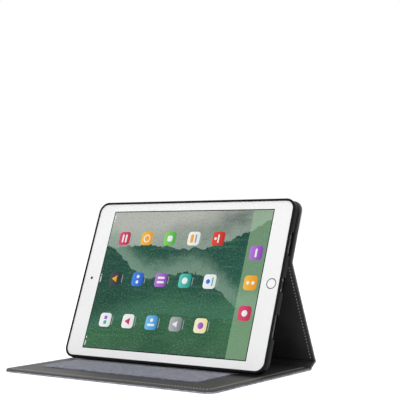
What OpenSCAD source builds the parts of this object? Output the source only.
// Folio stand case for a tablet, opened as a landscape stand with the tablet in its shell.
// A front cover, a spine and a two-part back are joined by soft folds. The lower half of the
// back folds away from the tablet as a prop, and the tablet's long edge stands on the cover.
// X runs along the tablet's long side, Y backwards and Z up. The origin is on the table, under
// the middle of the whole object.

/* [Tablet] */
// Length of the tablet's long side
tablet_w = 250.6; // [240:0.1:262]
// Length of the tablet's short side
tablet_h = 174.1; // [168:0.1:182]
// Thickness of the tablet
tablet_t = 7.5; // [6.5:0.1:9]
// Radius of the tablet's corners, seen from the front
tablet_corner_r = 10; // [8:0.5:14]
// Radius of the edge between the tablet's side and its back
tablet_edge_r = 3; // [2:0.1:3.5]
// Thickness of the cover glass
glass_t = 0.8; // [0.6:0.05:1.1]
// Bare metal edge around the cover glass
glass_inset = 0.4; // [0.2:0.1:1]
// White border between the tablet's end and the display
border_end = 21.65; // [20:0.05:26]
// White border between the tablet's long edge and the display
border_side = 9.35; // [8.5:0.05:13]
// Rim of the display module hidden under the white glass
display_rim = 2.5; // [1:0.1:3]
// Thickness of the display module behind the glass
display_module_t = 2; // [1.5:0.1:2.4]
// Wall of the metal housing
housing_wall = 5; // [4:0.1:5.5]
// Floor of the metal housing
housing_floor = 1.1; // [0.8:0.1:1.4]
// Space between the housing's end wall and the battery
cell_end_space = 22.8; // [12:0.1:40]
// Space between the housing's long wall and the battery
cell_side_space = 18; // [12:0.1:34]
// Space between the two battery cells
cell_gap = 3; // [1:0.5:8]

/* [Tablet controls] */
// Distance from the home button's centre to the tablet's end
home_inset = 9.8; // [9:0.1:11]
// Radius of the home button's metal ring
home_ring_r = 5.5; // [5:0.1:6]
// Width of the home button's metal ring
home_ring_w = 0.7; // [0.5:0.1:1]
// Distance from the front camera's centre to the tablet's end
front_camera_inset = 10.9; // [9:0.1:12]
// Radius of the front camera's window
front_camera_r = 1.6; // [1.2:0.1:2.2]
// Length of the power and volume buttons
key_len = 11; // [8:0.5:12]
// Width of the power and volume buttons
key_w = 1.8; // [1.4:0.1:2.4]
// How far the buttons stand out of the housing
key_proud = 0.5; // [0.3:0.05:0.7]
// Depth of the buttons' wells
key_well = 1.6; // [1.3:0.1:2]
// Length of the button stem inside its well
key_stem = 1.1; // [0.9:0.05:1.2]
// Distance from the power button's centre to the upper long edge
power_inset = 22; // [20:0.5:30]
// Distance from the upper volume button's centre to the camera end
volume_up_inset = 31.5; // [28:0.5:34]
// Distance between the centres of the volume buttons
volume_pitch = 14; // [12.5:0.5:16]
// Distance from the rear camera's centre to both tablet edges
rear_camera_inset = 13.5; // [12.5:0.1:16]
// Radius of the rear camera's lens
rear_camera_r = 3.6; // [3:0.1:4.5]
// Radius of the headphone socket
jack_r = 1.75; // [1.7:0.05:1.9]
// Distance from the headphone socket to the lower long edge
jack_inset = 18; // [14:0.5:24]
// Length of the charging socket
port_len = 8.4; // [7:0.1:9.4]
// Width of the charging socket
port_w = 2.4; // [1.8:0.1:2.8]
// Depth of both sockets
socket_depth = 4; // [2:0.1:4.5]
// Radius of one speaker hole
speaker_hole_r = 0.7; // [0.5:0.05:0.9]
// Distance between speaker holes
speaker_pitch = 2.4; // [2:0.1:3]
// Number of speaker holes in a row
speaker_count = 9; // [5:1:9]
// Distance from the charging socket to the middle of each speaker row
speaker_offset = 42; // [34:0.5:50]

/* [Shell] */
// Clearance between the tablet and the shell
tablet_clear = 0.15; // [0.1:0.05:0.4]
// Side wall of the shell
shell_wall = 1.4; // [1.2:0.1:2]
// Back wall of the shell
shell_floor = 1.2; // [1:0.1:1.8]
// Outer radius between the shell's sides and its back
shell_edge_r = 4; // [3.2:0.1:5]
// Thickness of the soft lip over the glass
lip_t = 0.6; // [0.4:0.05:1]
// How far the lip reaches over the glass
lip_cover = 0.9; // [0.5:0.05:1.5]
// Width of the cut-outs in the shell's side walls
cutout_w = 5.8; // [5:0.1:6]
// Length of the cut-out over the volume buttons
volume_cutout_len = 38; // [32:0.5:42]
// Length of the cut-out over the power button
power_cutout_len = 24; // [18:0.5:28]
// Length of the cut-out over the headphone socket
jack_cutout_len = 11; // [8:0.5:14]
// Length of the cut-out over the charging socket
port_cutout_len = 16; // [14:0.5:20]
// Length of the cut-outs over the speakers
speaker_cutout_len = 25; // [23:0.5:30]
// Radius of the camera hole in the shell
camera_hole_r = 7; // [6:0.1:8]

/* [Case panels] */
// Thickness of the woven outer skin
fabric_t = 0.7; // [0.5:0.05:0.9]
// Thickness of the stiff board in each panel
board_t = 1.5; // [1.2:0.1:1.8]
// Thickness of the smooth inner lining
lining_t = 0.6; // [0.4:0.05:0.8]
// Width of the sewn hem around the boards
hem_w = 2.2; // [1.5:0.1:4]
// How far the panels reach past the shell
panel_margin = 1.2; // [0.8:0.1:3]
// Corner radius at the panels' free edges
panel_corner_r = 11; // [8:0.5:12.5]
// Distance between the spine's two fold axes
spine_w = 12; // [12:0.5:16]
// Distance from a fold's axis to the panels on both sides
fold_setback = 2; // [1.9:0.05:2.4]
// Adhesive sheet between the back panel and the shell
glue_t = 0.3; // [0.2:0.05:0.4]
// Distance from the adhesive sheet to the edges of the shell's flat back
glue_inset = 7; // [5:0.5:14]
// Board and skin cleared around the camera hole
camera_hole_step = 1; // [0.5:0.1:2]

/* [Cover details] */
// Thickness of the woven grip panel inside the cover
grip_t = 1; // [0.6:0.05:1.4]
// Bare lining at the grip panel's camera end
grip_left = 22; // [16:0.5:30]
// Bare lining at the grip panel's home button end
grip_right = 38; // [30:0.5:45]
// Bare lining in front of the grip panel
grip_front = 33; // [26:0.5:36]
// Bare lining behind the grip panel
grip_rear = 27.5; // [20:0.5:50]
// Corner radius of the grip panel
grip_corner_r = 6; // [3:0.5:12]
// Length of the leather label
label_len = 45; // [30:0.5:60]
// Width of the leather label
label_w = 12; // [8:0.5:16]
// Thickness of the leather label
label_t = 0.6; // [0.4:0.05:0.65]
// Gap between the label and the skin around it
label_gap = 0.2; // [0.1:0.05:0.4]
// Distance from the label's tip to the cover's free edge
label_from_edge = 13; // [10:0.5:20]
// Distance from the label's middle to the cover's end
label_from_end = 18; // [16:0.5:26]
// Radius of a closure magnet
magnet_r = 4.9; // [3:0.1:6]
// Thickness of a closure magnet
magnet_t = 1.2; // [0.8:0.05:1.2]
// Gap around a magnet in the board
magnet_gap = 0.1; // [0.05:0.05:0.3]
// Distance from the magnets to the cover's free edge
magnet_from_edge = 12; // [11:0.5:20]
// Number of closure magnets
magnet_count = 4; // [2:1:6]
// Distance between the closure magnets
magnet_pitch = 22; // [16:0.5:30]

/* [Stand] */
// Tilt of the tablet from the table
tilt = 69; // [65:0.5:72]
// Height of the back's fold, up the tablet from the glass's lower edge
crease_at = 112; // [105:0.5:116]
// Gap under the shell's edge on the grip panel
stand_gap = 0.3; // [0.2:0.05:0.5]

/* [Hidden] */
$fn = 64;
smooth_fn = 32;
cut_past = 1;

// Laminate of one panel: skin, board and lining, with the fold axes at its middle
panel_t = fabric_t + board_t + lining_t;
fold_r = panel_t / 2;

// Shell around the tablet
shell_gap = tablet_clear + shell_wall;
shell_w = tablet_w + 2 * shell_gap;
shell_h = tablet_h + 2 * shell_gap;
shell_t = tablet_t + tablet_clear + shell_floor;
shell_corner_r = tablet_corner_r + shell_gap;

// Panels
case_w = shell_w + 2 * panel_margin;
glass_over_crease = fold_r + glue_t + shell_t;
edge_up = shell_edge_r - shell_gap;
edge_depth = shell_t - shell_edge_r;
prop_up = crease_at - edge_up;
prop_back = glass_over_crease - edge_depth;
leg_len = norm([prop_up, prop_back]);
back_len = tablet_h + shell_gap + panel_margin - crease_at;
cover_len = leg_len + back_len;

// Stand: the leg and the stretch of tablet below the crease are the two equal sides of a
// triangle on one level, so the shell's edge stays on that level at every tilt
prop_tilt = tilt - atan2(prop_back, prop_up);
leg_tilt = 180 - prop_tilt;
foot_z = panel_t + grip_t + stand_gap + shell_edge_r;
spine_rise = foot_z - fold_r;
spine_tilt = asin(spine_rise / spine_w);
spine_run = spine_w * cos(spine_tilt);
depth = cover_len + spine_run + fold_r;
cover_axis_y = cover_len - depth / 2;
foot_y = cover_axis_y + spine_run;
crease_y = foot_y + leg_len * cos(leg_tilt);
crease_z = foot_z + leg_len * sin(leg_tilt);

// Heights inside a panel, measured from the fold axis
skin_top = fabric_t - fold_r;
board_top = skin_top + board_t;

// Tablet, measured from the lower edge of the glass
housing_t = tablet_t - glass_t;
display_w = tablet_w - 2 * border_end;
display_h = tablet_h - 2 * border_side;
cell_w = (tablet_w - cell_gap) / 2 - housing_wall - cell_end_space;
cell_h = tablet_h - 2 * housing_wall - 2 * cell_side_space;
key_z = -3.4;
cutout_z = -3.3;
home_x = tablet_w / 2 - home_inset;
front_camera_x = front_camera_inset - tablet_w / 2;
rear_camera_x = rear_camera_inset - tablet_w / 2;
rear_camera_y = tablet_h - rear_camera_inset;
power_y = tablet_h - power_inset;
volume_up_x = volume_up_inset - tablet_w / 2;
volume_down_x = volume_up_x + volume_pitch;
key_clear = 0.3;
seat_gap = 0.05;
home_pad_r = home_ring_r - home_ring_w - key_clear;
home_pad_t = glass_t + 0.2;
home_well_t = 1;
lens_t = 0.8;

// ---- places ----

module onCover() translate([0, cover_axis_y, fold_r]) mirror([0, 1, 0]) children();
module onSpine() translate([0, cover_axis_y, fold_r]) rotate([spine_tilt, 0, 0]) children();
module onLeg() translate([0, foot_y, foot_z]) rotate([leg_tilt, 0, 0]) children();
module onBack() translate([0, crease_y, crease_z]) rotate([tilt, 0, 0]) children();
module onTablet() onBack() translate([0, -crease_at, glass_over_crease]) children();

// ---- shapes ----

// Rectangle on the Y axis from y0 to y1, w wide, with its far corners rounded
module freeEdgeOutline(w, y0, y1, r) {
  translate([-w / 2, y0]) square([w, y1 - y0 - r]);
  translate([r - w / 2, y0]) square([w - 2 * r, y1 - y0]);
  for (side = [-1, 1]) translate([side * (w / 2 - r), y1 - r]) circle(r);
}

// Rectangle w by h, centred, with four round corners
module roundedRect(w, h, r) {
  square([w, h - 2 * r], center = true);
  square([w - 2 * r, h], center = true);
  for (sx = [-1, 1], sy = [-1, 1]) translate([sx * (w / 2 - r), sy * (h / 2 - r)]) circle(r);
}

// Slot with round ends, len long in X and w wide in Y, centred
module slotOutline(len, w) {
  square([len - w, w], center = true);
  for (side = [-1, 1]) translate([side * (len - w) / 2, 0]) circle(w / 2);
}

// Flat sheet between two heights
module layer(z0, z1) translate([0, 0, z0]) linear_extrude(z1 - z0) children();

// Slab from z = -t to 0 with round corners and a rounded lower edge
module roundedSlab(w, h, t, corner_r, edge_r) {
  hull() for (sx = [-1, 1], sy = [-1, 1]) translate([sx * (w / 2 - corner_r), sy * (h / 2 - corner_r)]) {
    translate([0, 0, edge_r - t]) cylinder(r = corner_r, h = t - edge_r, $fn = smooth_fn);
    translate([0, 0, edge_r - t]) rotate_extrude($fn = smooth_fn)
      translate([corner_r - edge_r, 0]) intersection() {
        circle(edge_r, $fn = smooth_fn);
        translate([0, -edge_r]) square([edge_r, 2 * edge_r]);
      }
  }
}

// Slot cut through the shell's wall on the side that the local -Z axis points out of
module wallCut(len, w) layer(-shell_wall - cut_past, cut_past) slotOutline(len, w);

// Places on the tablet's sides, with local Z pointing into the tablet and local X along the edge
module onLeftSide(y, z) translate([-tablet_w / 2, y, z]) rotate([90, 0, 90]) children();
module onRightSide(y, z) translate([tablet_w / 2, y, z]) rotate([90, 0, -90]) children();
module onTopSide(x, z) translate([x, tablet_h, z]) rotate([90, 0, 0]) children();

// One side button: a pill with its stem in the well
module sideKey() {
  layer(-key_proud, key_stem) slotOutline(key_len, key_w);
}

module sideKeyWell() {
  layer(-cut_past, key_well) slotOutline(key_len + 2 * key_clear, key_w + 2 * key_clear);
}

// Round fold of skin and lining between two panels
module foldBead(len) rotate([0, 90, 0]) cylinder(r = fold_r, h = len, center = true);

// ---- front cover ----

module coverOutline(inset) {
  freeEdgeOutline(case_w - 2 * inset, fold_setback + inset, cover_len - inset, panel_corner_r - inset);
}

module labelOutline(grow) {
  nose_r = label_w / 2 + grow;
  translate([case_w / 2 - label_from_end, cover_len - label_from_edge - label_len / 2])
    rotate(90) slotOutline(label_len + 2 * grow, 2 * nose_r);
}

module magnetPlaces() {
  for (i = [0 : magnet_count - 1])
    translate([(i - (magnet_count - 1) / 2) * magnet_pitch, cover_len - magnet_from_edge]) children();
}

module front_cover_fabric() {
  color("#8f9099") onCover() layer(-fold_r, skin_top) difference() {
    coverOutline(0);
    labelOutline(label_gap);
  }
}

module front_cover_board() {
  color("#b9ad96") onCover() layer(skin_top, board_top) difference() {
    coverOutline(hem_w);
    magnetPlaces() circle(magnet_r + magnet_gap);
  }
}

module front_cover_lining() {
  color("#3a3a3c") onCover() {
    layer(board_top, fold_r) coverOutline(0);
    layer(skin_top, board_top) difference() {
      coverOutline(0);
      coverOutline(hem_w);
    }
  }
}

module grip_panel() {
  grip_w = case_w - grip_left - grip_right;
  grip_len = cover_len - fold_setback - grip_front - grip_rear;
  color("#9a9aa6") onCover() layer(fold_r, fold_r + grip_t)
    translate([(grip_left - grip_right) / 2, cover_len - grip_front - grip_len / 2])
      roundedRect(grip_w, grip_len, grip_corner_r);
}

module leather_label() {
  color("#c8552c") onCover() layer(skin_top - label_t, skin_top) labelOutline(0);
}

module closure_magnets() {
  color("#a8a8ac") onCover() layer(board_top - magnet_t, board_top) magnetPlaces() circle(magnet_r);
}

module cover_fold() {
  color("#5a5a60") translate([0, cover_axis_y, fold_r]) foldBead(case_w);
}

// ---- spine ----

module spineOutline(inset) {
  length = spine_w - 2 * fold_setback - 2 * inset;
  translate([0, spine_w / 2]) square([case_w - 2 * inset, length], center = true);
}

module spine_fabric() {
  color("#8f9099") onSpine() layer(-fold_r, skin_top) spineOutline(0);
}

module spine_board() {
  color("#b9ad96") onSpine() layer(skin_top, board_top) spineOutline(hem_w);
}

module spine_lining() {
  color("#3a3a3c") onSpine() {
    layer(board_top, fold_r) spineOutline(0);
    layer(skin_top, board_top) difference() {
      spineOutline(0);
      spineOutline(hem_w);
    }
  }
}

module leg_fold() {
  color("#5a5a60") translate([0, foot_y, foot_z]) foldBead(case_w);
}

// ---- leg: the lower half of the back ----

module legOutline(inset) {
  length = leg_len - 2 * fold_setback - 2 * inset;
  translate([0, leg_len / 2]) square([case_w - 2 * inset, length], center = true);
}

module leg_fabric() {
  color("#8f9099") onLeg() layer(-fold_r, skin_top) legOutline(0);
}

module leg_board() {
  color("#b9ad96") onLeg() layer(skin_top, board_top) legOutline(hem_w);
}

module leg_lining() {
  color("#3a3a3c") onLeg() {
    layer(board_top, fold_r) legOutline(0);
    layer(skin_top, board_top) difference() {
      legOutline(0);
      legOutline(hem_w);
    }
  }
}

module crease_fold() {
  color("#5a5a60") translate([0, crease_y, crease_z]) foldBead(case_w);
}

// ---- upper half of the back, with the shell ----

module backOutline(inset) {
  freeEdgeOutline(case_w - 2 * inset, fold_setback + inset, back_len - inset, panel_corner_r - inset);
}

module cameraHole(grow) {
  translate([rear_camera_x, rear_camera_y - crease_at]) circle(camera_hole_r + grow);
}

module back_fabric() {
  color("#8f9099") onBack() layer(-fold_r, skin_top) difference() {
    backOutline(0);
    cameraHole(camera_hole_step);
  }
}

module back_board() {
  color("#b9ad96") onBack() layer(skin_top, board_top) difference() {
    backOutline(hem_w);
    cameraHole(2 * camera_hole_step);
  }
}

module back_lining() {
  color("#3a3a3c") onBack() {
    layer(board_top, fold_r) difference() {
      backOutline(0);
      cameraHole(camera_hole_step);
    }
    layer(skin_top, board_top) difference() {
      backOutline(0);
      backOutline(hem_w);
    }
  }
}

module adhesive_sheet() {
  sheet_h = back_len - panel_margin - fold_setback - 2 * glue_inset;
  corner = 2 * (camera_hole_r + camera_hole_step);
  color("#d8d4c4") onBack() layer(fold_r, fold_r + glue_t) difference() {
    translate([glue_inset - shell_w / 2, fold_setback + glue_inset]) square([shell_w - 2 * glue_inset, sheet_h]);
    cameraHole(camera_hole_step);
    translate([rear_camera_x - corner, rear_camera_y - crease_at]) square([corner + camera_hole_r, corner]);
    translate([rear_camera_x - corner, rear_camera_y - crease_at - camera_hole_r]) square([corner, corner]);
  }
}

module shellCuts() {
  onLeftSide(power_y, cutout_z) wallCut(power_cutout_len, cutout_w);
  onLeftSide(jack_inset, cutout_z) wallCut(jack_cutout_len, cutout_w);
  onRightSide(tablet_h / 2, cutout_z) wallCut(port_cutout_len, cutout_w);
  for (side = [-1, 1])
    onRightSide(tablet_h / 2 + side * speaker_offset, cutout_z) wallCut(speaker_cutout_len, cutout_w);
  onTopSide((volume_up_x + volume_down_x) / 2, cutout_z) wallCut(volume_cutout_len, cutout_w);
}

module shell() {
  color("#1b1b1d") onTablet() difference() {
    translate([0, tablet_h / 2, tablet_clear])
      roundedSlab(shell_w, shell_h, shell_t + tablet_clear, shell_corner_r, shell_edge_r);
    translate([0, tablet_h / 2, cut_past])
      roundedSlab(tablet_w + 2 * tablet_clear, tablet_h + 2 * tablet_clear,
                  tablet_t + tablet_clear + cut_past, tablet_corner_r + tablet_clear,
                  tablet_edge_r + tablet_clear);
    shellCuts();
    translate([rear_camera_x, rear_camera_y, -shell_t - cut_past])
      cylinder(r = camera_hole_r, h = shell_floor + 2 * cut_past);
  }
}

module shell_lip() {
  color("#1b1b1d") onTablet() translate([0, tablet_h / 2, 0]) layer(tablet_clear, tablet_clear + lip_t)
    difference() {
      roundedRect(shell_w, shell_h, shell_corner_r);
      roundedRect(tablet_w - 2 * lip_cover, tablet_h - 2 * lip_cover, tablet_corner_r - lip_cover);
    }
}

// ---- tablet ----

module speakerRow() {
  for (i = [0 : speaker_count - 1])
    translate([(i - (speaker_count - 1) / 2) * speaker_pitch, 0, 0])
      layer(-cut_past, socket_depth) circle(speaker_hole_r);
}

module tablet_housing() {
  color("#c9cacc") onTablet() difference() {
    translate([0, tablet_h / 2, -glass_t])
      roundedSlab(tablet_w, tablet_h, housing_t, tablet_corner_r, tablet_edge_r);
    translate([0, tablet_h / 2, 0]) layer(housing_floor - tablet_t, 0)
      roundedRect(tablet_w - 2 * housing_wall, tablet_h - 2 * housing_wall, tablet_corner_r - housing_wall);
    onLeftSide(power_y, key_z) sideKeyWell();
    onTopSide(volume_up_x, key_z) sideKeyWell();
    onTopSide(volume_down_x, key_z) sideKeyWell();
    onLeftSide(jack_inset, key_z) layer(-cut_past, socket_depth) circle(jack_r);
    onRightSide(tablet_h / 2, key_z) layer(-cut_past, socket_depth) slotOutline(port_len, port_w);
    for (side = [-1, 1]) onRightSide(tablet_h / 2 + side * speaker_offset, key_z) speakerRow();
    translate([home_x, tablet_h / 2, -glass_t - home_well_t]) cylinder(r = home_ring_r, h = home_well_t + cut_past);
    translate([rear_camera_x, rear_camera_y, -tablet_t - cut_past])
      cylinder(r = rear_camera_r + seat_gap, h = lens_t + cut_past);
  }
}

module tablet_glass() {
  color("#eeeeef") onTablet() layer(-glass_t, 0) difference() {
    translate([0, tablet_h / 2])
      roundedRect(tablet_w - 2 * glass_inset, tablet_h - 2 * glass_inset, tablet_corner_r - glass_inset);
    translate([0, tablet_h / 2]) square([display_w, display_h], center = true);
    translate([home_x, tablet_h / 2]) circle(home_ring_r + seat_gap);
    translate([front_camera_x, tablet_h / 2]) circle(front_camera_r + seat_gap);
  }
}

module tablet_display() {
  color("#3f8f6a") onTablet() translate([0, tablet_h / 2, 0]) {
    layer(-glass_t, 0) square([display_w, display_h], center = true);
    layer(-glass_t - display_module_t, -glass_t)
      square([display_w + 2 * display_rim, display_h + 2 * display_rim], center = true);
  }
}

module tablet_battery() {
  cell_t = housing_t - housing_floor - display_module_t - key_clear;
  color("#26282b") onTablet() translate([0, tablet_h / 2, 0])
    layer(housing_floor - tablet_t, housing_floor - tablet_t + cell_t)
      for (side = [-1, 1]) translate([side * (cell_w + cell_gap) / 2, 0]) square([cell_w, cell_h], center = true);
}

module front_camera() {
  color("#101418") onTablet() translate([front_camera_x, tablet_h / 2, 0]) layer(-glass_t, 0) circle(front_camera_r);
}

module rear_camera() {
  color("#15181c") onTablet() translate([rear_camera_x, rear_camera_y, 0])
    layer(-tablet_t, lens_t - tablet_t) circle(rear_camera_r);
}

module home_button_ring() {
  color("#b8babd") onTablet() translate([home_x, tablet_h / 2, 0]) layer(-glass_t, 0) difference() {
    circle(home_ring_r);
    circle(home_ring_r - home_ring_w);
  }
}

module home_button() {
  color("#f2f2f3") onTablet() translate([home_x, tablet_h / 2, 0]) layer(-home_pad_t, -seat_gap) circle(home_pad_r);
}

module power_button() {
  color("#c9cacc") onTablet() onLeftSide(power_y, key_z) sideKey();
}

module volume_up_button() {
  color("#c9cacc") onTablet() onTopSide(volume_up_x, key_z) sideKey();
}

module volume_down_button() {
  color("#c9cacc") onTablet() onTopSide(volume_down_x, key_z) sideKey();
}

front_cover_fabric();
front_cover_board();
front_cover_lining();
grip_panel();
leather_label();
closure_magnets();
cover_fold();
spine_fabric();
spine_board();
spine_lining();
leg_fold();
leg_fabric();
leg_board();
leg_lining();
crease_fold();
back_fabric();
back_board();
back_lining();
adhesive_sheet();
shell();
shell_lip();
tablet_housing();
tablet_glass();
tablet_display();
tablet_battery();
front_camera();
rear_camera();
home_button_ring();
home_button();
power_button();
volume_up_button();
volume_down_button();
